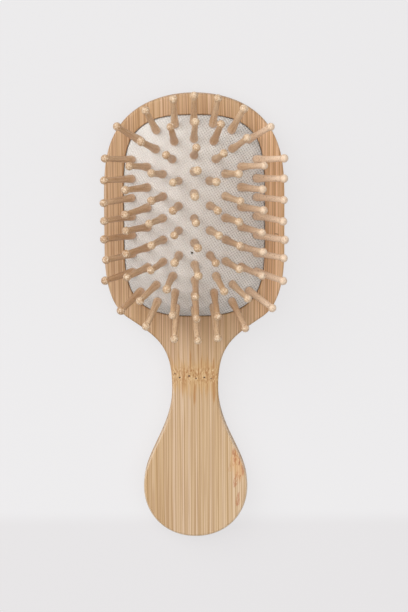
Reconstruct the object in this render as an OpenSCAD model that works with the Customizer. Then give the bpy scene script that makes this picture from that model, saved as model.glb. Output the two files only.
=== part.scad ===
// Paddle hair brush: a one-piece bamboo board, an air-cushioned rubber pad and turned wooden pins.
// Lengths are in millimetres. The board lies on its flat back at z = 0, with its head towards +Y,
// its handle towards -Y and its pins up. The origin is on the back, under the pad's centre.

/* [Pad] */
// width of the pad where it leaves the board's face
pad_w = 55.6; // [46:0.1:70]
// length of the pad where it leaves the board's face
pad_l = 80; // [66:0.1:100]
// height of the pad's crown above the board's face
pad_rise = 10.8; // [7:0.1:14]
// thickness of the rubber skin
skin_t = 1.8; // [1.2:0.1:2.6]
// depth of the pad's skirt below the board's face, down to its lip
skirt_depth = 2.4; // [1.6:0.1:3.5]
// how far the lip stands out of the skirt
lip_reach = 1.4; // [0.8:0.1:2.2]
// thickness of the lip
lip_t = 1.5; // [1:0.1:2.2]
// diameter of the air vent
vent_d = 1; // [0.8:0.1:1.6]
// distance of the air vent from the pad's centre, towards the handle
vent_offset = 13.3; // [12.8:0.1:14.4]
// distance of the air vent from the pad's midline, towards the left
vent_aside = 0.9; // [0:0.1:1.5]

/* [Board] */
// thickness of the board
board_t = 11; // [9:0.1:16]
// width of the wooden rim beside the pad
side_rim_w = 8.05; // [6:0.05:14]
// width of the wooden rim beyond the pad's top end
top_rim_w = 8.6; // [6.5:0.05:14]
// distance from the pad's lower end to the middle of the neck
throat_l = 28.9; // [25:0.1:45]
// width of the neck
neck_w = 18.6; // [14:0.1:26]
// distance from the middle of the neck to the widest place of the handle
grip_l = 41.1; // [30:0.1:90]
// width of the handle at its widest place
grip_w = 42; // [28:0.1:50]
// distance from the widest place of the handle to its end
tail_l = 21.2; // [14:0.05:32]
// radius of the edge round the face
face_edge_r = 1; // [0.6:0.1:3.5]
// radius of the edge round the back
back_edge_r = 3; // [1:0.1:4]
// wood left under the pocket's floor
floor_t = 5; // [3:0.1:7]
// gap all round between the pad and the pocket
pocket_gap = 0.3; // [0.1:0.05:0.6]

/* [Pins] */
// length of a pin from the pad's surface to its tip
pin_l = 19.9; // [12:0.1:26]
// diameter of the ball tip
ball_d = 3.3; // [2.6:0.1:4]
// diameter of the rounded base that sits on the pad
base_d = 3.4; // [3:0.1:4.4]
// height over which the base narrows into the shaft
base_h = 7; // [3:0.1:8]
// radius of the base's lower edge
base_round = 1; // [0.5:0.1:1.2]
// diameter of the shaft above the base
shaft_d = 2.65; // [1.8:0.05:2.8]
// diameter of the waist under the ball
waist_d = 2.2; // [1.4:0.1:2.4]
// diameter of the neck that passes through the skin
pin_neck_d = 2; // [1.4:0.1:2.8]
// diameter of the foot inside the pad
foot_d = 3.4; // [2.8:0.1:4.2]
// thickness of the foot
foot_t = 0.8; // [0.5:0.1:1.4]
// radial gap between a pin's neck and its hole
hole_gap = 0.05; // [0.03:0.01:0.15]
// distance of the outermost pins from the pad's side edge
side_inset = 3.8; // [3:0.1:7]
// mean distance of the outermost pins from the pad's end edges
end_inset = 3.55; // [3.2:0.05:7]
// how far the pins stand nearer to the head's end than to the handle's
field_shift = 0.5; // [0:0.1:0.8]

/* [Hidden] */
pad_a = pad_w / 2;
pad_b = pad_l / 2;
// The pad's outline is |x / a| ^ side_power + |y / b| ^ end_power = 1.
side_power = 2.8;
end_power = 4.6;
// The dome falls from the crown as that sum raised to this power.
crown_power = 0.83;
// The skin's inner face drops this much below the face's plane at the rim.
rim_drop = 0.5;
// points per quarter turn, rings of the outer dome and rings of the inner dome
quarter_steps = 16;
outer_rings = 12;
inner_rings = 9;

face_z = board_t;
lip_top_z = face_z - skirt_depth;
lip_bottom_z = lip_top_z - lip_t;
pocket_a = pad_a + pocket_gap;
pocket_b = pad_b + pocket_gap;
groove_gap = 0.2;
head_a = pad_a + side_rim_w;
head_b = pad_b + top_rim_w;
neck_y = -pad_b - throat_l;
grip_y = neck_y - grip_l;
tail_y = grip_y - tail_l;

// The seat gaps keep a pin's flat base and foot clear of the curved skin.
base_gap = 0.05;
foot_gap = 0.25;
ball_r = ball_d / 2;
base_r = base_d / 2;
shaft_r = shaft_d / 2;
taper_steps = 5;
overcut = 1;

ring_names = ["core", "inner", "middle", "outer", "rim"];
last_ring = len(ring_names) - 1;
rim_x = pad_a - side_inset;
rim_y = pad_b - end_inset;
// A ring's fan opens this far from the midline to its columns' first pins, less for inner rings.
rim_spread = 47;
spread_step = 3.5;
// Half the length of the rim ring's columns, and how much shorter each ring inwards is.
rim_reach = 0.61 * rim_y;
reach_step = 0.07 * rim_y;
function fan_pitch(ring) = (rim_spread - spread_step * (last_ring - ring)) / ring;
// Fan radii shrink evenly towards the centre, and so do the columns' distances from the midline.
function fan_radius(ring) = rim_y * (ring + 2) / (last_ring + 2);
function column_x(ring) = rim_x * ring / last_ring;
// The core's pins stand as far apart as those of the inner ring's columns.
function column_reach(ring) =
    ring == 0
        ? 2 * column_reach(1) / (row_count(1) - 1)
        : rim_reach - reach_step * (last_ring - ring);
function row_count(ring) = ring + 3;

// One ring's right half from its top pin round to its bottom pin: [x, y] of each pin.
function fan_points(ring, side) = [
    for (i = [0:ring - 1])
        fan_radius(ring) * [sin(i * fan_pitch(ring)), side * cos(i * fan_pitch(ring))]
];
function column_points(ring) = [
    for (i = [0:row_count(ring) - 1])
        [column_x(ring), column_reach(ring) * (1 - 2 * i / (row_count(ring) - 1))]
];
function backwards(list) = [for (i = [len(list) - 1:-1:0]) list[i]];
function centred_ring(ring) =
    ring == 0
        ? column_points(0)
        : concat(fan_points(ring, 1), column_points(ring), backwards(fan_points(ring, -1)));
function ring_points(ring) = [for (p = centred_ring(ring)) p + [0, field_shift]];

function two_digits(number) = number < 10 ? str("0", number) : str(number);
function pin_node(ring, index) = str(ring_names[ring], "_pins_", two_digits(index + 1));

// ---- the pad's surface ----

// A point of the quarter curve x ^ side + y ^ end = 1, from [1, 0] at share 0 to [0, 1] at share 1.
function oval_part(share, side, end) =
    let (up = pow(share, end / 2), across = pow(1 - share, side / 2))
    let (size = norm([across, up]))
    [pow(across / size, 2 / side), pow(up / size, 2 / end)];
// a point of the pad's outline at half sizes of 1
function oval_direction(step) =
    let (quarter = floor(step / quarter_steps), share = step / quarter_steps - quarter)
    let (p = oval_part(quarter % 2 == 0 ? share : 1 - share, side_power, end_power))
    [quarter == 1 || quarter == 2 ? -p[0] : p[0], quarter > 1 ? -p[1] : p[1]];
function oval(a, b) = [
    for (step = [0:4 * quarter_steps - 1])
        let (d = oval_direction(step)) [a * d[0], b * d[1]]
];

// level runs from 0 at the crown to 1 at the edge
function level_ring(a, b, level, z) =
    let (kx = pow(level, 1 / side_power), ky = pow(level, 1 / end_power))
    [for (p = oval(a, b)) [kx * p[0], ky * p[1], z]];
function dome_level(i, count) = pow(i / count, 3.3);
function dome_ring(a, b, foot_z, rise, level) =
    level_ring(a, b, level, foot_z + rise * (1 - pow(level, crown_power)));

function level_at(x, y) =
    pow(abs(x) / pad_a, side_power) + pow(abs(y) / pad_b, end_power);
function dome_z(x, y) = face_z + pad_rise * (1 - pow(level_at(x, y), crown_power));
// how fast the dome falls along x and along y
function dome_fall(x, y) =
    let (w = level_at(x, y))
    w == 0 ? [0, 0] :
    let (k = pad_rise * crown_power * pow(w, crown_power - 1))
    k * [
        sign(x) * side_power / pad_a * pow(abs(x) / pad_a, side_power - 1),
        sign(y) * end_power / pad_b * pow(abs(y) / pad_b, end_power - 1)
    ];

// Moves its children from the origin to the dome at [x, y], square to the surface.
module on_dome(x, y) {
    fall = dome_fall(x, y);
    translate([x, y, dome_z(x, y)])
        rotate([0, atan(norm(fall)), atan2(fall[1], fall[0])])
            children();
}

// A closed skin over a stack of rings with equal counts, with a point at each end.
module skin_between(first, rings, last) {
    n = len(rings[0]);
    m = len(rings);
    points = concat([first], [for (ring = rings) each ring], [last]);
    tip = len(points) - 1;
    function at(i, j) = 1 + i * n + j % n;
    caps = [for (j = [0:n - 1]) each [[0, at(0, j), at(0, j + 1)], [tip, at(m - 1, j + 1), at(m - 1, j)]]];
    walls = [
        for (i = [0:m - 2]) for (j = [0:n - 1]) each [
            [at(i, j), at(i + 1, j), at(i + 1, j + 1)],
            [at(i, j), at(i + 1, j + 1), at(i, j + 1)]
        ]
    ];
    polyhedron(points, [for (f = concat(caps, walls)) [f[2], f[1], f[0]]]);
}

module cushion() {
    color([0.93, 0.92, 0.9])
        difference() {
            cushion_skin();
            for (ring = [0:last_ring])
                for (p = ring_points(ring))
                    for (side = p[0] > 0 ? [1, -1] : [1])
                        on_dome(side * p[0], p[1])
                            pin_hole(pin_neck_d / 2 + hole_gap);
            on_dome(-vent_aside, -vent_offset)
                pin_hole(vent_d / 2);
        }
}

module pin_hole(radius) {
    translate([0, 0, -skin_t - overcut])
        cylinder(h = skin_t + 2 * overcut, r = radius, $fn = 24);
}

module cushion_skin() {
    inner_a = pad_a - skin_t;
    inner_b = pad_b - skin_t;
    inner_foot = face_z - rim_drop;
    inner_rise = pad_rise - skin_t + rim_drop;
    outer_dome = [
        for (i = [1:outer_rings])
            dome_ring(pad_a, pad_b, face_z, pad_rise, dome_level(i, outer_rings))
    ];
    edge = [
        level_ring(pad_a, pad_b, 1, lip_top_z),
        level_ring(pad_a + lip_reach, pad_b + lip_reach, 1, lip_top_z),
        level_ring(pad_a + lip_reach, pad_b + lip_reach, 1, lip_bottom_z),
        level_ring(inner_a, inner_b, 1, lip_bottom_z)
    ];
    inner_dome = [
        for (i = [inner_rings:-1:1])
            dome_ring(inner_a, inner_b, inner_foot, inner_rise, dome_level(i, inner_rings))
    ];
    skin_between(
        [0, 0, face_z + pad_rise],
        concat(outer_dome, edge, inner_dome),
        [0, 0, inner_foot + inner_rise]
    );
}

// ---- the board ----

neck_a = neck_w / 2;
grip_a = grip_w / 2;

// The head's top is |x / a| ^ head_side_power + |y / b| ^ head_end_power = 1.
head_side_power = 2;
head_end_power = 3.7;
head_steps = 14;
head_top = [
    for (i = [0:head_steps])
        let (p = oval_part(1 - i / head_steps, head_side_power, head_end_power))
        [head_a * p[0], head_b * p[1]]
];

// The head's straight side runs down to here, and then rounds into the sloping shoulder.
side_end = [head_a, -0.35 * pad_b];
shoulder = [0.75 * head_a, -1.02 * pad_b];
shoulder_slope = -146;
neck = [neck_a, neck_y];
straight_down = -90;

// A curve that leaves one place and arrives at another at given headings. Each pull is a share
// of the distance between them.
function heading(angle) = [cos(angle), sin(angle)];
function curve(from, leave_at, leave_pull, to, arrive_at, arrive_pull, steps) =
    let (reach = norm(to - from))
    let (leave = from + leave_pull * reach * heading(leave_at))
    let (arrive = to - arrive_pull * reach * heading(arrive_at))
    [
        for (k = [0:steps - 1])
            let (t = k / steps)
            pow(1 - t, 3) * from + 3 * pow(1 - t, 2) * t * leave
                + 3 * (1 - t) * pow(t, 2) * arrive + pow(t, 3) * to
    ];
corner_curve = curve(side_end, straight_down, 0.45, shoulder, shoulder_slope, 0.28, 8);
throat_curve = curve(shoulder, shoulder_slope, 0.42, neck, straight_down, 0.5, 10);

// The handle swells from the neck to the grip as half a cosine wave, a little late.
swell_lag = 1.17;
swell_steps = 12;
swell = [
    for (i = [0:swell_steps - 1])
        let (t = i / swell_steps)
        [
            neck_a + (grip_a - neck_a) * (1 - cos(180 * pow(t, swell_lag))) / 2,
            neck_y - grip_l * t
        ]
];

// The handle's end is a slightly squared half oval.
tail_power = 2.1;
tail_steps = 11;
tail = [
    for (i = [0:tail_steps - 1])
        let (p = oval_part(i / tail_steps, tail_power, tail_power))
        [grip_a * p[0], grip_y - tail_l * p[1]]
];

// The outline's right half, from the head's top to the handle's end.
right_half = concat(head_top, corner_curve, throat_curve, swell, tail);
left_half = [for (i = [len(right_half) - 1:-1:1]) [-right_half[i][0], right_half[i][1]]];
outline = concat(right_half, [[0, tail_y]], left_half);

// The outline moved inwards, square to itself.
function inset(path, distance) = [
    for (i = [0:len(path) - 1])
        let (next = path[(i + 1) % len(path)], last = path[(i + len(path) - 1) % len(path)])
        let (along = (next - last) / norm(next - last))
        path[i] + distance * [along[1], -along[0]]
];

edge_steps = 4;
function edge_arc(radius, z, up) = [
    for (i = [0:edge_steps])
        let (turn = 90 * (up ? i : edge_steps - i) / edge_steps)
        [radius * (1 - cos(turn)), z + radius * sin(turn) * (up ? 1 : -1)]
];

module board_blank() {
    levels = concat(
        edge_arc(back_edge_r, back_edge_r, false),
        edge_arc(face_edge_r, face_z - face_edge_r, true)
    );
    n = len(outline);
    points = [for (l = levels) for (p = inset(outline, l[0])) [p[0], p[1], l[1]]];
    walls = [
        for (i = [0:len(levels) - 2]) for (j = [0:n - 1]) each [
            [i * n + j, (i + 1) * n + j, (i + 1) * n + (j + 1) % n],
            [i * n + j, (i + 1) * n + (j + 1) % n, i * n + (j + 1) % n]
        ]
    ];
    // The flat faces are rungs between mirrored points, because the outline is hollow at the neck.
    rungs = [for (j = [1:n / 2 - 2]) [j, j + 1, n - j - 1, n - j]];
    back = concat([[0, 1, n - 1], [n / 2 - 1, n / 2, n / 2 + 1]], rungs);
    face = [for (f = back) [for (j = backwards(f)) (len(levels) - 1) * n + j]];
    polyhedron(points, [for (f = concat(back, face, walls)) backwards(f)]);
}

module paddle_body() {
    color([0.79, 0.6, 0.4])
        difference() {
            board_blank();
            translate([0, 0, floor_t])
                linear_extrude(board_t)
                    polygon(oval(pocket_a, pocket_b));
            translate([0, 0, lip_bottom_z - groove_gap])
                linear_extrude(lip_t + 2 * groove_gap)
                    polygon(oval(pad_a + lip_reach + groove_gap, pad_b + lip_reach + groove_gap));
        }
}

// ---- the pins ----

// The side of a pin's base, from its widest place up into the shaft.
function base_side() = [
    for (i = [0:taper_steps])
        let (share = i / taper_steps)
        [
            shaft_r + (base_r - shaft_r) * (1 + cos(180 * share)) / 2,
            base_gap + base_round + share * (base_h - base_round)
        ]
];

// Half the section of a pin that stands on the skin at z = 0.
module pin_section() {
    ball_z = pin_l - ball_r;
    foot_top = -skin_t - foot_gap;
    intersection() {
        translate([0, -pin_l])
            square([base_d, 3 * pin_l]);
        union() {
            translate([0, foot_top - foot_t])
                square([foot_d / 2, foot_t]);
            translate([0, foot_top - foot_t / 2])
                square([pin_neck_d / 2, base_gap + base_round - foot_top]);
            translate([0, base_gap])
                square([base_r - base_round, 2 * base_round]);
            translate([base_r - base_round, base_gap + base_round])
                circle(r = base_round, $fn = 32);
            polygon(concat(
                [[0, base_gap + base_round]],
                base_side(),
                [[waist_d / 2, ball_z - ball_r], [waist_d / 2, ball_z], [0, ball_z]]
            ));
            translate([0, ball_z])
                circle(r = ball_r, $fn = 32);
        }
    }
}

// A pair of pins at mirrored places, or a single pin on the midline.
module pins(ring, index) {
    p = ring_points(ring)[index];
    color([0.87, 0.77, 0.62])
        for (side = p[0] > 0 ? [1, -1] : [1])
            on_dome(side * p[0], p[1])
                rotate_extrude($fn = 32)
                    pin_section();
}

paddle_body();
cushion();
for (ring = [0:last_ring])
    for (i = [0:len(ring_points(ring)) - 1])
        pins(ring, i);
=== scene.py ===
"""A bamboo paddle brush: the board, the air cushion and the turned pins, with camera, light and floor.

Lengths are in millimetres up to the meshes, which are in metres. The frame is the model's own:
the board lies on its back at z = 0, the head points along +Y and the pins point up.
"""

import math
import random

import bmesh
import bpy
from mathutils import Matrix, Vector


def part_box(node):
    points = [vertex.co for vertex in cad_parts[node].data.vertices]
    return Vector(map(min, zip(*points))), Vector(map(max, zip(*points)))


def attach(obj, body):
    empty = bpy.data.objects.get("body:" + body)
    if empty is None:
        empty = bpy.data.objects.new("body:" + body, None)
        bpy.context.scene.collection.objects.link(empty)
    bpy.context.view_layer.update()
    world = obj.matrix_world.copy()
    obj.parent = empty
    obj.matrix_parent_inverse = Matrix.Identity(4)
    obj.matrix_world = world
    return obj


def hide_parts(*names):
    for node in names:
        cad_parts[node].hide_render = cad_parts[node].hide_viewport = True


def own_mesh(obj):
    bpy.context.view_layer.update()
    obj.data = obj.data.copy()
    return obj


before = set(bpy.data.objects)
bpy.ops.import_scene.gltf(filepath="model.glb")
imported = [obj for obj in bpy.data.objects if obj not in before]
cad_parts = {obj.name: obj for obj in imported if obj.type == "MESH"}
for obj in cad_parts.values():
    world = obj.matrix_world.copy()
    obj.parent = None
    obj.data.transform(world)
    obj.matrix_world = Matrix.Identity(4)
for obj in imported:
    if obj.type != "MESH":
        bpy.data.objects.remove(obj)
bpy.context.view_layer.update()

MM = 0.001

# ---- sizes of the object ----

board_low, board_high = (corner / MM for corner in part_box("paddle_body"))
FACE_Z = board_high.z
HEAD_A = board_high.x
HEAD_B = board_high.y
TAIL_Y = board_low.y

# the cushion: half sizes, rise, skin, and the exponents of its outline and of its crown
PAD_A, PAD_B = 27.8, 40.0
PAD_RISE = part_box("cushion")[1].z / MM - FACE_Z
SKIN_T, SKIRT_DEPTH, LIP_REACH, LIP_T = 1.8, 2.4, 1.4, 1.5
SIDE_POWER, END_POWER, CROWN_POWER = 2.8, 4.6, 0.83
EDGE_DROP, INNER_EDGE_DROP = 0.4, 0.5
VENT_R, VENT_PLACE, DRILL_MARGIN = 0.5, (-0.9, -13.3), 1.5
# Rings on the dome lie closer together towards the crown, by this power.
RING_POWER = 3.3

# the pocket under the cushion
POCKET_GAP, POCKET_FLOOR = 0.3, 5.0
LIP_GAP, MOUTH_CHAMFER = 0.2, 0.35

# the board's outline: the head's top, its straight side, the shoulder, the neck and the grip
HEAD_SIDE_POWER, HEAD_END_POWER = 2.0, 3.7
SIDE_END = (HEAD_A, -0.35 * PAD_B)
SHOULDER, SHOULDER_SLOPE = (0.75 * HEAD_A, -1.02 * PAD_B), -146
CORNER_PULLS, THROAT_PULLS = (0.45, 0.28), (0.42, 0.5)
STRAIGHT_DOWN = -90
THROAT_L, GRIP_L = 28.9, 41.1
NECK_A, NECK_Y = 9.3, -PAD_B - THROAT_L
GRIP_A, GRIP_Y = 21.0, NECK_Y - GRIP_L
SWELL_LAG, TAIL_POWER = 1.17, 2.1
FACE_EDGE_R, BACK_EDGE_R = 1.0, 3.0

# the turned pin, from its ball tip down to its foot under the skin
PIN_L, BALL_R, WAIST_R, SHAFT_R = 19.9, 1.65, 1.1, 1.325
BASE_R, BASE_H, BASE_ROUND, BASE_GAP = 1.7, 7.0, 1.0, 0.05
FOOT_R, FOOT_T, FOOT_GAP, PIN_NECK_R = 1.7, 0.8, 0.25, 1.0
# the foot's tapered end: its radius and where it starts, as shares of the foot's
FOOT_TAPER, FOOT_STRAIGHT = 0.7, 0.6
BALL_START = -56
WAIST_POWER = 1.3

# the pattern of pins: rings round a core, each a column of rows with a fan at both ends
RING_NAMES = ["core", "inner", "middle", "outer", "rim"]
LAST_RING = len(RING_NAMES) - 1
SIDE_INSET, END_INSET, FIELD_SHIFT = 3.8, 3.55, 0.5
RIM_SPREAD, SPREAD_STEP = 47.0, 3.5
RIM_REACH, REACH_STEP = 0.61, 0.07

# how the pins differ: tilt in degrees, bend in millimetres, thickness and tone
PIN_SEED = 79
PIN_TILT, PIN_BEND, PIN_SWELL, TONE_POWER = 1.4, 0.1, (0.95, 1.04), 1.5
# The middle pins lean this many degrees towards +X.
HAND_LEAN = 2.5
# The pins' texture spaces stand this far apart, and slide sideways by a share of that.
PIN_SPAN, PIN_SPACES, PIN_SLIDE = 100.0, 200, 0.37

# ---- small helpers ----


def new_object(name, mesh):
    obj = bpy.data.objects.new(name, mesh)
    bpy.context.scene.collection.objects.link(obj)
    return obj


def mesh_from(name, points_mm, faces):
    """A mesh in metres from points in millimetres."""
    mesh = bpy.data.meshes.new(name)
    mesh.from_pydata([Vector(p) * MM for p in points_mm], [], faces)
    mesh.validate()
    mesh.update()
    return mesh


def smooth(mesh, degrees=35):
    """Smooth shading, with sharp edges where faces meet at more than that angle."""
    mesh.shade_smooth()
    mesh.set_sharp_from_angle(angle=math.radians(degrees))


def direction(degrees):
    """Cosine and sine of an angle."""
    turn = math.radians(degrees)
    return math.cos(turn), math.sin(turn)


def rgb(red, green, blue):
    """An sRGB colour of 0 to 255 a channel as a linear one."""
    def linear(c):
        c = c / 255
        return c / 12.92 if c <= 0.04045 else ((c + 0.055) / 1.055) ** 2.4
    return (linear(red), linear(green), linear(blue), 1.0)


# ---- materials ----


class Nodes:
    """A material's node tree, with one call per node."""

    def __init__(self, name):
        self.material = bpy.data.materials.new(name)
        self.material.use_nodes = True
        self.tree = self.material.node_tree
        self.shader = self.tree.nodes["Principled BSDF"]
        self.output = self.tree.nodes["Material Output"]

    def link(self, source, target):
        self.tree.links.new(source, target)

    def put(self, value, socket):
        if isinstance(value, bpy.types.NodeSocket):
            self.link(value, socket)
        else:
            socket.default_value = value

    def node(self, kind, **settings):
        node = self.tree.nodes.new(kind)
        for key, value in settings.items():
            setattr(node, key, value)
        return node

    def math(self, operation, a, b=0.0):
        node = self.node("ShaderNodeMath", operation=operation)
        self.put(a, node.inputs[0])
        self.put(b, node.inputs[1])
        return node.outputs[0]

    def plus(self, a, b):
        return self.math("ADD", a, b)

    def minus(self, a, b):
        return self.math("SUBTRACT", a, b)

    def times(self, a, b):
        return self.math("MULTIPLY", a, b)

    def size_of(self, a):
        return self.math("ABSOLUTE", a)

    def vector(self, x, y, z):
        node = self.node("ShaderNodeCombineXYZ")
        for value, socket in zip((x, y, z), node.inputs):
            self.put(value, socket)
        return node.outputs[0]

    def place_mm(self):
        """The point on the object, in millimetres, as three sockets."""
        coords = self.node("ShaderNodeTexCoord")
        scale = self.node("ShaderNodeVectorMath", operation="SCALE")
        self.link(coords.outputs["Object"], scale.inputs[0])
        scale.inputs["Scale"].default_value = 1 / MM
        parts = self.node("ShaderNodeSeparateXYZ")
        self.link(scale.outputs[0], parts.inputs[0])
        return tuple(parts.outputs)

    def noise(self, vector, scale=1.0, detail=2.0, roughness=0.5):
        node = self.node("ShaderNodeTexNoise")
        self.link(vector, node.inputs["Vector"])
        node.inputs["Scale"].default_value = scale
        node.inputs["Detail"].default_value = detail
        node.inputs["Roughness"].default_value = roughness
        return node.outputs["Fac"]

    def stretched(self, place, across, along, detail=2.0, roughness=0.5, shift=0.0):
        """Noise in cells 1 / across wide and 1 / along long, in millimetres."""
        x, y, z = place
        moved = self.plus(self.times(z, across), shift)
        cells = self.vector(self.times(x, across), self.times(y, along), moved)
        return self.noise(cells, detail=detail, roughness=roughness)

    def comb(self, across, pitch, wander, turns):
        """Uneven parallel lines: a sine of the sideways place, led astray by a noise."""
        phase = self.times(across, 2 * math.pi / pitch)
        return self.math("SINE", self.plus(phase, self.times(wander, turns)))

    def blot(self, place, centre, radii):
        """A soft oval spot: 1 at its centre and 0 from its edge outwards."""
        squares = []
        for value, middle, radius in zip(place, centre, radii):
            part = self.math("DIVIDE", self.minus(value, middle), radius)
            squares.append(self.times(part, part))
        return self.steps(self.plus(*squares), 1.0, 0.25)

    def steps(self, value, start, end):
        """Rises smoothly from 0 where the value is at start to 1 where it is at end."""
        node = self.node("ShaderNodeMapRange", interpolation_type="SMOOTHSTEP")
        self.put(value, node.inputs["Value"])
        node.inputs["From Min"].default_value = start
        node.inputs["From Max"].default_value = end
        return node.outputs["Result"]

    def mix(self, share, a, b, blend="MIX"):
        node = self.node("ShaderNodeMix", data_type="RGBA", blend_type=blend)
        self.put(share, node.inputs["Factor"])
        self.put(a, node.inputs[6])
        self.put(b, node.inputs[7])
        return node.outputs[2]

    def tint(self, colour, share, strength, paint, blend="MIX"):
        """The colour with a paint laid over it, where the share says and at that strength."""
        return self.mix(self.times(share, strength), colour, paint, blend)

    def finish(self, colour, roughness, relief, strength, depth_mm):
        """Sends the colour and the relief to the shader."""
        self.link(colour, self.shader.inputs["Base Color"])
        self.shader.inputs["Roughness"].default_value = roughness
        bump = self.node("ShaderNodeBump")
        self.link(relief, bump.inputs["Height"])
        bump.inputs["Strength"].default_value = strength
        bump.inputs["Distance"].default_value = depth_mm * MM
        self.link(bump.outputs["Normal"], self.shader.inputs["Normal"])
        return self.material


# flat-pressed bamboo, from its pale fibres to its dark lines
FIBRE_DARK, FIBRE_PALE = rgb(214, 182, 144), rgb(226, 197, 167)
SLAT, LINE, SEAM, HAIR = rgb(205, 170, 122), rgb(178, 140, 98), rgb(170, 129, 78), rgb(168, 124, 80)
# The last colour on the next line is a painted highlight for the face's rounded edge.
RED_LINE, SCRATCHED, EDGE_HIGHLIGHT = rgb(150, 94, 60), rgb(118, 72, 44), rgb(242, 220, 194)
# These four multiply the colour under them. The second is painted light for the head's right side.
USED, RIGHT_HEAD_LIGHT = (0.90, 0.81, 0.73, 1.0), (1.31, 1.25, 1.18, 1.0)
YELLOWED, PALED = (0.95, 0.91, 0.83, 1.0), (1.10, 1.14, 1.19, 1.0)
# where each kind of wear, tone and painted light starts and is full: along the board, across it, and
# below the face
HEAD_ZONE, HANDLE_ZONE = (-78.0, -34.0), (-66.0, -90.0)
RIGHT_HEAD_LIGHT_ZONE, YELLOW_ZONE, PALE_ZONE = (18.0, 34.0), (2.0, -18.0), (0.0, 18.0)
EDGE_HIGHLIGHT_FROM, EDGE_HIGHLIGHT_TO = (FACE_Z - 0.03, FACE_Z - 0.3), (FACE_Z - 3.0, FACE_Z - 1.4)
# the scratch on the head's right side: sideways place, and height after its slant
SCRATCH, SCRATCH_SLANT, SCRATCH_SIZE = (32.7, -0.7), 0.2, (1.0, 0.28)

# the node band's height on the neck, and its pores: sideways place, offset from the band, size
NODE_Y = -65.2
BAND_RISE, BAND_HALF = 0.8, (4.6, 1.6)
PORES = [
    (-8.1, 1.6, 0.3), (-6.2, 0.0, 0.42), (-2.4, 0.6, 0.45),
    (0.4, -0.4, 0.36), (3.7, 0.0, 0.45), (6.4, -0.5, 0.3),
]
PORE_WIDTH = 1.2
NODE_GLOW, NODE_STREAK, PORE = rgb(212, 166, 100), rgb(174, 118, 62), rgb(74, 44, 22)
KNIT_DARK, KNIT_PALE = rgb(168, 110, 54), rgb(230, 198, 152)

# the mark on the grip's edge, and its streaks: offsets from the mark and half length
MARK_X, MARK_Y = 17.2, -100.5
MARK_SIZE, STREAK_WIDTH = (3.6, 9.0), 0.6
MARK_DEPTH = (FACE_Z - 6.0, FACE_Z - 0.5)
MARK_STREAKS = [
    (-1.9, 4.5, 1.6), (-1.5, 0.8, 2.4), (0.4, 2.2, 0.8),
    (1.9, -3.2, 3.0), (-0.9, -7.0, 3.4), (-0.2, -15.5, 3.4),
]
STAIN, SCAR, STREAK = rgb(226, 166, 98), rgb(164, 90, 46), rgb(176, 92, 46)

# the rubber and its weave: pitch in millimetres, and the threads' two directions in degrees
RUBBER_PALE, RUBBER_DARK = rgb(239, 236, 231), rgb(231, 227, 222)
# The second colour on the next line is painted shade for the weave's pits.
FLECK, PIT_SHADE = rgb(214, 204, 196), rgb(150, 136, 126)
WEAVE_PITCH, WEAVE_ANGLES, SECOND_THREAD = 0.95, (32, 122), 0.7
# The weave's pits get painted shade, faint on the left and stronger to the right.
PIT_SHADE_ZONE, PIT_SHADE_LEFT, PIT_SHADE_GAIN = (-16.0, 18.0), 0.13, 0.6

# the pins' wood
PIN_DARK, PIN_PALE, PIN_TONE = rgb(207, 172, 134), rgb(233, 205, 171), rgb(190, 147, 107)
# These three are painted light on the right, painted shade on the left and painted light at the pins'
# base.
PIN_LIT, PIN_SHADED, PIN_BASE_LIGHT = rgb(255, 228, 202), rgb(172, 128, 92), rgb(232, 202, 176)
SPECK_PALE, SPECK_DARK = rgb(240, 218, 190), rgb(156, 114, 76)
# where the pins get painted light to the right and painted shade to the left, where their base gets
# painted light, and their tip
PIN_LIT_ZONE, PIN_SHADE_ZONE = (12.0, 34.0), (-6.0, -36.0)
PIN_BASE_LIGHT_ZONE, TIP_ZONE = (4.2, 0.3), (PIN_L - 3.8, PIN_L - 2.4)

# The floor lightens from the head to the grip and then darkens a little, across the grip's end.
FLOOR_FAR, FLOOR_NEAR, FLOOR_END = rgb(237, 236, 237), rgb(241, 240, 241), rgb(234, 232, 233)
FLOOR_PAINT = rgb(226, 224, 225)
FLOOR_STEP_Y, FLOOR_STEP_HALF = -126.4, 4
# The camera sees this share of the floor as plain colour, and the rest with its shadow.
FLOOR_PLAIN = 0.8


def bamboo_material():
    """Flat-pressed bamboo: fibres along the board, a node band at the neck and a mark on the grip."""
    n = Nodes("bamboo")
    place = x, y, z = n.place_mm()
    colour, relief = bamboo_grain(n, place)

    # The handle's left strips are yellower than its right ones.
    handle = n.steps(y, *HANDLE_ZONE)
    yellow = n.times(handle, n.steps(x, *YELLOW_ZONE))
    colour = n.mix(yellow, colour, YELLOWED, "MULTIPLY")
    pale = n.times(handle, n.steps(x, *PALE_ZONE))
    colour = n.mix(pale, colour, PALED, "MULTIPLY")

    colour = node_band(n, colour, place)
    colour = resin_mark(n, colour, place)

    # The face's rounded edge round the handle gets a pale painted highlight.
    edge = n.times(n.steps(z, *EDGE_HIGHLIGHT_FROM), n.steps(z, *EDGE_HIGHLIGHT_TO))
    colour = n.tint(colour, n.times(edge, handle), 0.55, EDGE_HIGHLIGHT)
    return n.finish(colour, roughness=0.55, relief=relief, strength=0.3, depth_mm=0.1)


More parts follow.
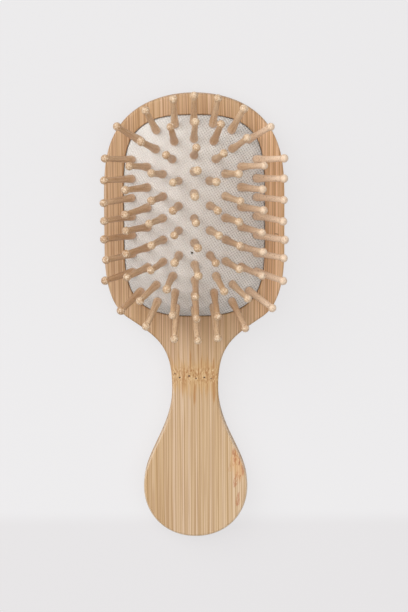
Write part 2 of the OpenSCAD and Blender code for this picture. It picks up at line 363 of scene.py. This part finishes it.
def bamboo_grain(n, place):
    """The strips, seams and fine lines along the board, and the head's wear and painted light, with
    their relief.
    """
    x, y, z = place
    wander = n.stretched(place, across=0.03, along=0.012, detail=1.0)
    grain = (n.plus(x, n.times(wander, 3.0)), y, n.times(z, 0.35))
    slats = n.stretched(grain, across=0.14, along=0.003, detail=0.0)
    fibres = n.stretched(grain, across=1.1, along=0.006, roughness=0.65)
    hairs = n.stretched(grain, across=2.1, along=0.02, detail=1.0)
    seam_wander = n.stretched(grain, across=0.35, along=0.004, detail=1.0)
    seams = n.comb(grain[0], pitch=1.9, wander=seam_wander, turns=9.0)
    line_wander = n.stretched(grain, across=0.6, along=0.004, detail=1.0, shift=50.0)
    lines = n.comb(grain[0], pitch=0.95, wander=line_wander, turns=8.0)
    fade = n.stretched(grain, across=0.5, along=0.012, detail=1.0, shift=90.0)
    fine = n.times(n.steps(lines, 0.1, 0.9), n.steps(fade, 0.35, 0.6))

    colour = n.mix(n.steps(fibres, 0.42, 0.6), FIBRE_DARK, FIBRE_PALE)
    colour = n.tint(colour, n.steps(slats, 0.42, 0.6), 0.35, SLAT)
    colour = n.tint(colour, fine, 0.54, LINE)
    colour = n.tint(colour, n.steps(seams, 0.68, 0.97), 0.64, SEAM)
    colour = n.tint(colour, n.steps(hairs, 0.54, 0.62), 0.4, HAIR)

    # The head has darkened with use, and its right side is painted lighter: painted light that offsets
    # the shade of the pins and the cushion there.
    head = n.steps(y, *HEAD_ZONE)
    colour = n.tint(colour, head, 0.8, USED, "MULTIPLY")
    right_head_light = n.times(head, n.steps(x, *RIGHT_HEAD_LIGHT_ZONE))
    colour = n.mix(right_head_light, colour, RIGHT_HEAD_LIGHT, "MULTIPLY")
    colour = n.tint(colour, n.times(fine, head), 0.4, RED_LINE)
    slanted = (x, n.plus(y, n.times(x, SCRATCH_SLANT)))
    colour = n.tint(colour, n.blot(slanted, SCRATCH, SCRATCH_SIZE), 0.8, SCRATCHED)
    return colour, n.minus(fibres, n.times(hairs, 0.6))


def node_band(n, colour, place):
    """The node band across the neck, with streaks that run out of it and a row of pores."""
    x, y, _ = place
    off = n.minus(y, NODE_Y)
    streak = n.stretched(place, across=0.9, along=0.05, roughness=0.6, shift=20.0)
    reach = n.plus(n.times(streak, 28.0), -7.0)
    near = n.steps(n.minus(n.size_of(off), reach), 2.0, -3.0)
    colour = n.tint(colour, near, 0.45, NODE_GLOW)
    colour = n.tint(colour, n.times(near, n.steps(streak, 0.5, 0.62)), 0.65, NODE_STREAK)

    knit = n.stretched(place, across=2.3, along=0.7, roughness=0.6, shift=70.0)
    band = n.steps(n.size_of(n.minus(off, BAND_RISE)), *BAND_HALF)
    colour = n.mix(n.times(band, n.steps(knit, 0.52, 0.66)), colour, KNIT_DARK)
    colour = n.mix(n.times(band, n.steps(knit, 0.44, 0.34)), colour, KNIT_PALE)
    for pore_x, pore_off, size in PORES:
        pore = n.blot((x, y), (pore_x, NODE_Y + pore_off), (size * PORE_WIDTH, size))
        colour = n.tint(colour, pore, 0.95, PORE)
    return colour


def resin_mark(n, colour, place):
    """A ragged stain on the grip's right edge, with short dark streaks in it, fading downwards."""
    x, y, z = place
    torn = n.stretched(place, across=1.4, along=0.24, detail=3.0, roughness=0.75, shift=30.0)
    tear = n.times(n.minus(torn, 0.5), 6.0)
    ragged = (n.plus(x, tear), n.plus(y, n.times(tear, 1.5)))
    shallow = n.steps(z, *MARK_DEPTH)
    stain = n.times(n.blot(ragged, (MARK_X, MARK_Y), MARK_SIZE), shallow)
    colour = n.tint(colour, stain, 0.45, STAIN)
    colour = n.tint(colour, n.times(stain, n.steps(torn, 0.54, 0.6)), 0.75, SCAR)
    for streak_x, streak_y, length in MARK_STREAKS:
        dash = n.blot(ragged, (MARK_X + streak_x, MARK_Y + streak_y), (STREAK_WIDTH, length))
        colour = n.tint(colour, n.times(dash, shallow), 0.6, STREAK)
    return colour


def rubber_material():
    """Off-white rubber with a fine diagonal weave moulded into it."""
    n = Nodes("cushion_rubber")
    place = x, y, _ = n.place_mm()
    turn = 2 * math.pi / WEAVE_PITCH
    wobble = n.times(n.stretched(place, across=0.3, along=0.3), 2.5)
    threads = []
    for angle in WEAVE_ANGLES:
        across, up = direction(angle)
        run = n.plus(n.times(x, turn * across), n.times(y, turn * up))
        threads.append(n.math("SINE", n.plus(run, wobble)))
    weave = n.plus(threads[0], n.times(threads[1], SECOND_THREAD))
    pits = n.steps(weave, -0.5, -1.5)
    mottle = n.stretched(place, across=0.12, along=0.12, detail=3.0)
    fleck = n.stretched(place, across=1.4, along=1.4)
    colour = n.mix(n.steps(mottle, 0.3, 0.7), RUBBER_PALE, RUBBER_DARK)
    colour = n.tint(colour, n.steps(fleck, 0.5, 0.75), 0.25, FLECK)
    pit_shade_share = n.plus(n.times(n.steps(x, *PIT_SHADE_ZONE), PIT_SHADE_GAIN), PIT_SHADE_LEFT)
    # Painted shade in the weave's pits, stronger towards the right.
    colour = n.mix(n.times(pits, pit_shade_share), colour, PIT_SHADE)
    return n.finish(colour, roughness=0.7, relief=weave, strength=0.6, depth_mm=0.12)


def pin_material():
    """Pale turned wood, with grain along the pin and a tone of its own for each pin."""
    n = Nodes("pin_wood")
    local = n.node("ShaderNodeAttribute", attribute_name="pin_space")
    parts = n.node("ShaderNodeSeparateXYZ")
    n.link(local.outputs["Vector"], parts.inputs[0])
    px, py, pz = parts.outputs
    height = n.math("MODULO", pz, PIN_SPAN)
    tone = n.node("ShaderNodeAttribute", attribute_name="pin_tone").outputs["Fac"]
    cells = n.vector(n.times(px, 1.5), n.times(py, 1.5), n.times(pz, 0.1))
    grain = n.noise(cells, detail=3.0, roughness=0.6)
    speck = n.noise(n.vector(px, py, pz), scale=1.7, roughness=0.6)
    colour = n.mix(n.steps(grain, 0.36, 0.64), PIN_DARK, PIN_PALE)
    colour = n.tint(colour, tone, 0.6, PIN_TONE)
    # The pins are painted darker to the left as painted shade and paler to the right as painted light,
    # and each is painted paler where it meets the rubber, as painted light against the shade there.
    x = n.place_mm()[0]
    colour = n.tint(colour, n.steps(x, *PIN_LIT_ZONE), 0.75, PIN_LIT)
    colour = n.tint(colour, n.steps(x, *PIN_SHADE_ZONE), 0.35, PIN_SHADED)
    colour = n.tint(colour, n.steps(height, *PIN_BASE_LIGHT_ZONE), 0.6, PIN_BASE_LIGHT)
    # The ball's end grain is speckled pale, and the whole pin dark.
    tip = n.steps(height, *TIP_ZONE)
    colour = n.mix(n.times(tip, n.steps(speck, 0.52, 0.62)), colour, SPECK_PALE)
    colour = n.tint(colour, n.steps(speck, 0.46, 0.32), 0.5, SPECK_DARK)
    relief = n.plus(grain, n.times(speck, 0.7))
    return n.finish(colour, roughness=0.38, relief=relief, strength=0.5, depth_mm=0.18)


def floor_material():
    """A pale floor that keeps a faint shadow and darkens a little across the grip's end."""
    n = Nodes("floor_paint")
    n.shader.inputs["Base Color"].default_value = FLOOR_PAINT
    n.shader.inputs["Roughness"].default_value = 1.0
    n.shader.inputs["Specular IOR Level"].default_value = 0.0
    y = n.place_mm()[1]
    glow = n.node("ShaderNodeEmission")
    step = n.steps(y, FLOOR_STEP_Y + FLOOR_STEP_HALF, FLOOR_STEP_Y - FLOOR_STEP_HALF)
    shade = n.mix(n.steps(y, HEAD_B, FLOOR_STEP_Y), FLOOR_FAR, FLOOR_NEAR)
    n.link(n.mix(step, shade, FLOOR_END), glow.inputs["Color"])
    path = n.node("ShaderNodeLightPath")
    blend = n.node("ShaderNodeMixShader")
    n.link(n.times(path.outputs["Is Camera Ray"], FLOOR_PLAIN), blend.inputs[0])
    n.link(n.shader.outputs[0], blend.inputs[1])
    n.link(glow.outputs[0], blend.inputs[2])
    n.link(blend.outputs[0], n.output.inputs["Surface"])
    return n.material


# ---- the pad's surface ----


def oval_part(share, side, end):
    """A point of x ** side + y ** end = 1, from (1, 0) at share 0 to (0, 1) at share 1."""
    up, across = share ** (end / 2), (1 - share) ** (side / 2)
    size = math.hypot(across, up)
    return (across / size) ** (2 / side), (up / size) ** (2 / end)


def oval(a, b, count):
    """The pad's outline at half sizes of a and b, evenly spread."""
    points = []
    quarter_steps = count // 4
    for step in range(4 * quarter_steps):
        quarter, share = divmod(step / quarter_steps, 1)
        x, y = oval_part(share if quarter % 2 == 0 else 1 - share, SIDE_POWER, END_POWER)
        points.append((-a * x if quarter in (1, 2) else a * x, -b * y if quarter > 1 else b * y))
    return points


def level_at(x, y):
    """0 at the pad's crown and 1 at its edge."""
    return abs(x / PAD_A) ** SIDE_POWER + abs(y / PAD_B) ** END_POWER


def dome_z(x, y):
    return FACE_Z + PAD_RISE * (1 - level_at(x, y) ** CROWN_POWER)


def dome_normal(x, y):
    """The direction that a pin at this place stands in, square to the dome."""
    step = 0.01
    fall_x = (dome_z(x - step, y) - dome_z(x + step, y)) / (2 * step)
    fall_y = (dome_z(x, y - step) - dome_z(x, y + step)) / (2 * step)
    return Vector((fall_x, fall_y, 1)).normalized()


def level_ring(a, b, level, z, count):
    """The ring at height z on which level_at gives this level, for half sizes of a and b."""
    kx, ky = level ** (1 / SIDE_POWER), level ** (1 / END_POWER)
    return [(kx * x, ky * y, z) for x, y in oval(a, b, count)]


def close_rings(rings, first, last):
    """Faces of a closed skin through the rings, with a point at each end."""
    n = len(rings[0])
    points = [first] + [p for ring in rings for p in ring] + [last]
    tip = len(points) - 1

    def at(i, j):
        return 1 + i * n + j % n

    faces = [(0, at(0, j), at(0, j + 1)) for j in range(n)]
    for i in range(len(rings) - 1):
        faces += [(at(i, j), at(i + 1, j), at(i + 1, j + 1), at(i, j + 1)) for j in range(n)]
    faces += [(tip, at(len(rings) - 1, j + 1), at(len(rings) - 1, j)) for j in range(n)]
    return points, faces


# ---- the cushion ----


def make_cushion(material):
    """The domed rubber skin, with its skirt and lip in the pocket."""
    around, outer_rings, inner_rings = 256, 72, 24
    inner_a, inner_b = PAD_A - SKIN_T, PAD_B - SKIN_T
    inner_edge = FACE_Z - INNER_EDGE_DROP
    inner_rise = PAD_RISE - SKIN_T + INNER_EDGE_DROP
    lip_top = FACE_Z - SKIRT_DEPTH
    lip_bottom = lip_top - LIP_T
    lip_a, lip_b = PAD_A + LIP_REACH, PAD_B + LIP_REACH
    rings = []
    for i in range(1, outer_rings + 1):
        level = (i / outer_rings) ** RING_POWER
        z = FACE_Z + PAD_RISE * (1 - level ** CROWN_POWER)
        rings.append(level_ring(PAD_A, PAD_B, level, z, around))
    skirt = [
        (PAD_A, PAD_B, FACE_Z - EDGE_DROP), (PAD_A, PAD_B, lip_top), (lip_a, lip_b, lip_top),
        (lip_a, lip_b, lip_bottom), (inner_a, inner_b, lip_bottom),
    ]
    rings += [level_ring(a, b, 1, z, around) for a, b, z in skirt]
    for i in range(inner_rings, 0, -1):
        level = (i / inner_rings) ** RING_POWER
        z = inner_edge + inner_rise * (1 - level ** CROWN_POWER)
        rings.append(level_ring(inner_a, inner_b, level, z, around))
    points, faces = close_rings(rings, (0, 0, FACE_Z + PAD_RISE), (0, 0, inner_edge + inner_rise))
    mesh = mesh_from("air_cushion", points, faces)
    mesh.materials.append(material)
    pad = new_object("air_cushion", mesh)
    vent = Vector((*VENT_PLACE, dome_z(*VENT_PLACE)))
    cut_hole(pad, vent, dome_normal(*VENT_PLACE), VENT_R, SKIN_T + DRILL_MARGIN)
    smooth(pad.data, 50)
    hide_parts("cushion")
    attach(pad, "paddle")
    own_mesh(pad)


def cut(obj, tool):
    """Takes the tool's solid out of obj, and deletes the tool."""
    boolean = obj.modifiers.new("cut", "BOOLEAN")
    boolean.operation = "DIFFERENCE"
    boolean.solver = "EXACT"
    boolean.object = tool
    depsgraph = bpy.context.evaluated_depsgraph_get()
    result = bpy.data.meshes.new_from_object(obj.evaluated_get(depsgraph))
    obj.modifiers.clear()
    old = obj.data
    obj.data = result
    bpy.data.meshes.remove(old)
    bpy.data.objects.remove(tool)


def cut_hole(obj, centre, normal, radius, depth):
    """Drills obj at centre along normal, and as deep on both sides of the centre."""
    turn = normal.to_track_quat("Z", "Y").to_matrix().to_4x4()
    bm = bmesh.new()
    bmesh.ops.create_cone(bm, cap_ends=True, segments=24, radius1=radius * MM, radius2=radius * MM,
                          depth=2 * depth * MM, matrix=Matrix.Translation(centre * MM) @ turn)
    mesh = bpy.data.meshes.new("drill")
    bm.to_mesh(mesh)
    bm.free()
    cut(obj, new_object("drill", mesh))


# ---- the board ----


def curve(start, leave_at, end, arrive_at, pulls, steps):
    """A curve between two places with given headings, without its last point."""
    a, b = Vector(start), Vector(end)
    span = (b - a).length
    leave = a + span * pulls[0] * Vector(direction(leave_at))
    arrive = b - span * pulls[1] * Vector(direction(arrive_at))
    points = []
    for k in range(steps):
        t = k / steps
        s = 1 - t
        points.append(s ** 3 * a + 3 * s * s * t * leave + 3 * s * t * t * arrive + t ** 3 * b)
    return points


def outline():
    """The board's outline, clockwise from the head's top seen from above, with mirrored halves."""
    head_steps, side_steps, corner_steps, throat_steps, handle_steps = 48, 12, 24, 32, 40
    right = []
    for i in range(head_steps):
        x, y = oval_part(1 - i / head_steps, HEAD_SIDE_POWER, HEAD_END_POWER)
        right.append(Vector((HEAD_A * x, HEAD_B * y)))
    right += [Vector((HEAD_A, SIDE_END[1] * i / side_steps)) for i in range(side_steps)]
    right += curve(SIDE_END, STRAIGHT_DOWN, SHOULDER, SHOULDER_SLOPE, CORNER_PULLS, corner_steps)
    neck = (NECK_A, NECK_Y)
    right += curve(SHOULDER, SHOULDER_SLOPE, neck, STRAIGHT_DOWN, THROAT_PULLS, throat_steps)
    for i in range(handle_steps):
        t = i / handle_steps
        rise = (1 - math.cos(math.pi * t ** SWELL_LAG)) / 2
        right.append(Vector((NECK_A + (GRIP_A - NECK_A) * rise, NECK_Y + (GRIP_Y - NECK_Y) * t)))
    for i in range(handle_steps):
        x, y = oval_part(i / handle_steps, TAIL_POWER, TAIL_POWER)
        right.append(Vector((GRIP_A * x, GRIP_Y + (TAIL_Y - GRIP_Y) * y)))
    left = [Vector((-p.x, p.y)) for p in reversed(right[1:])]
    return right + [Vector((0, TAIL_Y))] + left


def inset(path, distance):
    """The outline moved inwards, square to itself."""
    moved = []
    for i, point in enumerate(path):
        along = (path[(i + 1) % len(path)] - path[i - 1]).normalized()
        moved.append(point + distance * Vector((along.y, -along.x)))
    return moved


def edge_levels():
    """The rounded edges from the back up to the face: inset and height of each step."""
    steps = 8
    levels = []
    for i in range(steps + 1):
        out, up = direction(90 * (steps - i) / steps)
        levels.append((BACK_EDGE_R * (1 - out), BACK_EDGE_R * (1 - up)))
    for i in range(steps + 1):
        out, up = direction(90 * i / steps)
        levels.append((FACE_EDGE_R * (1 - out), FACE_Z - FACE_EDGE_R * (1 - up)))
    return levels


def make_board(material):
    """The bamboo board with rounded edges and the cushion's pocket."""
    path = outline()
    n = len(path)
    levels = edge_levels()
    points = []
    for distance, z in levels:
        points += [(p.x, p.y, z) for p in inset(path, distance)]
    faces = []
    for i in range(len(levels) - 1):
        for j in range(n):
            k = (j + 1) % n
            faces.append((i * n + k, (i + 1) * n + k, (i + 1) * n + j, i * n + j))
    rungs = [(0, 1, n - 1)] + [(j, j + 1, n - j - 1, n - j) for j in range(1, n // 2 - 1)]
    rungs.append((n // 2 - 1, n // 2, n // 2 + 1))
    top = (len(levels) - 1) * n
    faces += rungs
    faces += [tuple(top + j for j in reversed(f)) for f in rungs]
    mesh = mesh_from("bamboo_board", points, faces)
    mesh.materials.append(material)
    board = new_object("bamboo_board", mesh)
    cut(board, pocket_tool())
    smooth(board.data)
    board.modifiers.new("even_shading", "WEIGHTED_NORMAL").keep_sharp = True
    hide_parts("paddle_body")
    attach(board, "paddle")


def pocket_tool():
    """The pocket with a small chamfer at its mouth and the lip's groove."""
    around = 192
    a, b = PAD_A + POCKET_GAP, PAD_B + POCKET_GAP
    groove = LIP_REACH + LIP_GAP
    groove_top = FACE_Z - SKIRT_DEPTH + LIP_GAP
    groove_bottom = FACE_Z - SKIRT_DEPTH - LIP_T - LIP_GAP
    mouth = FACE_Z + MOUTH_CHAMFER
    shapes = [
        (0, POCKET_FLOOR), (0, groove_bottom), (groove, groove_bottom), (groove, groove_top),
        (0, groove_top), (0, FACE_Z - MOUTH_CHAMFER), (MOUTH_CHAMFER * 2, mouth),
    ]
    rings = [level_ring(a + grow, b + grow, 1, z, around) for grow, z in shapes]
    points, faces = close_rings(rings, (0, 0, POCKET_FLOOR), (0, 0, mouth))
    mesh = mesh_from("pocket", points, faces)
    bm = bmesh.new()
    bm.from_mesh(mesh)
    bmesh.ops.recalc_face_normals(bm, faces=bm.faces)
    bm.to_mesh(mesh)
    bm.free()
    return new_object("pocket", mesh)


# ---- the pins ----


def ring_points(ring):
    """Places of a ring's right half, from the head's top round to the handle's side."""
    rim_x, rim_y = PAD_A - SIDE_INSET, PAD_B - END_INSET
    radius = rim_y * (ring + 2) / (LAST_RING + 2)
    rows = ring + 3
    reach = rim_y * (RIM_REACH - REACH_STEP * (LAST_RING - max(ring, 1)))
    if ring == 0:
        # The core's rows lie as far apart as the inner ring's, which has one row more.
        reach *= (rows - 1) / rows
    spread = RIM_SPREAD - SPREAD_STEP * (LAST_RING - ring)
    turns = [direction(i * spread / ring) for i in range(ring)]
    fan = [(radius * across, radius * up) for up, across in turns]
    column = [(rim_x * ring / LAST_RING, reach * (1 - 2 * i / (rows - 1))) for i in range(rows)]
    centred = fan + column + [(x, -y) for x, y in reversed(fan)]
    return [(x, y + FIELD_SHIFT) for x, y in centred]


def pin_profile():
    """Radius and height of the lathed pin, from its foot to its tip."""
    foot_top = -SKIN_T - FOOT_GAP
    profile = [(FOOT_R * FOOT_TAPER, foot_top - FOOT_T), (FOOT_R, foot_top - FOOT_T * FOOT_STRAIGHT)]
    profile += [(FOOT_R, foot_top), (PIN_NECK_R, foot_top), (PIN_NECK_R, 0.0)]
    round_steps, side_steps, ball_steps = 5, 8, 10
    for i in range(round_steps):
        out, up = direction(-90 + 90 * i / round_steps)
        profile.append((BASE_R + BASE_ROUND * (out - 1), BASE_GAP + BASE_ROUND * (up + 1)))
    base_side = BASE_GAP + BASE_ROUND
    for i in range(side_steps + 1):
        share = i / side_steps
        ease = (1 + math.cos(math.pi * share)) / 2
        height = base_side + share * (BASE_H - BASE_ROUND)
        profile.append((SHAFT_R + (BASE_R - SHAFT_R) * ease, height))
    ball_z = PIN_L - BALL_R
    waist_z = ball_z - BALL_R
    for share in (0.35, 0.7, 1.0):
        radius = SHAFT_R + (WAIST_R - SHAFT_R) * share ** WAIST_POWER
        profile.append((radius, BASE_H + (waist_z - BASE_H) * share))
    for i in range(ball_steps):
        out, up = direction(BALL_START + (90 - BALL_START) * i / ball_steps)
        profile.append((BALL_R * out, ball_z + BALL_R * up))
    return profile


def add_pin(points, faces, spaces, tones, base, normal, dice):
    """One lathed pin with small differences from its neighbours."""
    sides = 20
    profile = pin_profile()
    tilt = Matrix.Rotation(math.radians(dice.gauss(0, PIN_TILT)), 3, "X")
    tilt @= Matrix.Rotation(math.radians(dice.gauss(0, PIN_TILT)), 3, "Y")
    lean = Matrix.Rotation(math.radians(HAND_LEAN * (1 - abs(base.x) / PAD_A)), 3, "Y")
    turn = lean @ normal.to_track_quat("Z", "Y").to_matrix() @ tilt
    bend = Vector((dice.gauss(0, PIN_BEND), dice.gauss(0, PIN_BEND)))
    swell = dice.uniform(*PIN_SWELL)
    offset = PIN_SPAN * dice.randrange(1, PIN_SPACES)
    tone = dice.random() ** TONE_POWER
    start = len(points)
    for radius, height in profile:
        shift = bend * math.sin(math.pi * max(0, height) / PIN_L)
        for k in range(sides):
            out, up = direction(360 * k / sides)
            local = Vector((radius * swell * out + shift.x, radius * swell * up + shift.y, height))
            points.append(base + turn @ local)
            spaces.append((local.x + offset * PIN_SLIDE, local.y, height + offset))
            tones.append(tone)
    for i in range(len(profile) - 1):
        for k in range(sides):
            m = (k + 1) % sides
            faces.append((start + i * sides + k, start + i * sides + m,
                          start + (i + 1) * sides + m, start + (i + 1) * sides + k))
    faces.append(tuple(start + k for k in reversed(range(sides))))
    tip = len(points)
    points.append(base + turn @ Vector((0, 0, PIN_L)))
    spaces.append((offset * PIN_SLIDE, 0, PIN_L + offset))
    tones.append(tone)
    last = start + (len(profile) - 1) * sides
    faces += [(last + k, last + (k + 1) % sides, tip) for k in range(sides)]


def make_pins(ring, index, place, material, dice):
    """The pin at place and its mirrored twin, in the stead of their CAD node."""
    node = f"{RING_NAMES[ring]}_pins_{index + 1:02d}"
    points, faces, spaces, tones = [], [], [], []
    x, y = place
    for side in ((1, -1) if x > 0 else (1,)):
        base = Vector((side * x, y, dome_z(x, y)))
        add_pin(points, faces, spaces, tones, base, dome_normal(side * x, y), dice)
    mesh = mesh_from("turned_" + node, points, faces)
    mesh.attributes.new("pin_space", "FLOAT_VECTOR", "POINT")
    mesh.attributes.new("pin_tone", "FLOAT", "POINT")
    mesh.attributes["pin_space"].data.foreach_set("vector", [c for s in spaces for c in s])
    mesh.attributes["pin_tone"].data.foreach_set("value", tones)
    mesh.materials.append(material)
    smooth(mesh, 60)
    pins = new_object("turned_" + node, mesh)
    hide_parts(node)
    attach(pins, RING_NAMES[ring] + "_pins")


# ---- camera, light and floor ----

CAMERA_TARGET = (3.7, -36.11, FACE_Z)
CAMERA_DISTANCE, CAMERA_TILT, CAMERA_ROLL = 796.0, 9.05, 0.25
VIEW_HEIGHT = 244.8
LIGHT_TARGET = (0, -20, 15)
WORLD_COLOUR, WORLD_STRENGTH = (1.0, 0.99, 0.98, 1), 0.22
FLOOR_REACH, FLOOR_DROP = 1500, 0.05


def make_camera():
    """The camera, tilted towards the handle and turned a little."""
    data = bpy.data.cameras.new("camera")
    camera = new_object("camera", data)
    tilt = math.radians(CAMERA_TILT)
    back = Vector((0, math.sin(tilt), math.cos(tilt)))
    camera.location = (Vector(CAMERA_TARGET) + CAMERA_DISTANCE * back) * MM
    roll = Matrix.Rotation(math.radians(-CAMERA_ROLL), 3, "Z")
    camera.rotation_euler = (Matrix.Rotation(-tilt, 3, "X") @ roll).to_euler()
    data.sensor_width = 36.0
    data.lens = data.sensor_width * CAMERA_DISTANCE / VIEW_HEIGHT
    data.clip_start, data.clip_end = 0.05, 10.0
    bpy.context.scene.camera = camera


def area_light(name, place, size, power):
    """A round lamp that many metres across, at a place in millimetres."""
    data = bpy.data.lights.new(name, "AREA")
    data.shape = "DISK"
    data.size = size
    data.energy = power
    lamp = new_object(name, data)
    lamp.location = Vector(place) * MM
    aim = (Vector(LIGHT_TARGET) - Vector(place)).normalized()
    lamp.rotation_euler = aim.to_track_quat("-Z", "Y").to_euler()


def make_light():
    """Two large soft lamps and an even, weak world."""
    area_light("softbox", (-650, 550, 850), size=1.2, power=9.6)
    area_light("overhead", (250, 0, 1300), size=1.6, power=10.0)
    world = bpy.data.worlds.new("studio")
    bpy.context.scene.world = world
    world.use_nodes = True
    ground = world.node_tree.nodes["Background"]
    ground.inputs["Color"].default_value = WORLD_COLOUR
    ground.inputs["Strength"].default_value = WORLD_STRENGTH


def make_floor():
    signs = ((-1, -1), (1, -1), (1, 1), (-1, 1))
    corners = [(FLOOR_REACH * x, FLOOR_REACH * y, 0) for x, y in signs]
    mesh = mesh_from("floor", corners, [(0, 1, 2, 3)])
    mesh.materials.append(floor_material())
    floor = new_object("floor", mesh)
    floor.location.z = -FLOOR_DROP * MM


make_camera()
make_light()
make_floor()
make_board(bamboo_material())
make_cushion(rubber_material())
pin_wood = pin_material()
pin_dice = random.Random(PIN_SEED)
for ring in range(len(RING_NAMES)):
    for index, place in enumerate(ring_points(ring)):
        make_pins(ring, index, place, pin_wood, pin_dice)

bpy.context.scene.view_settings.view_transform = "Standard"
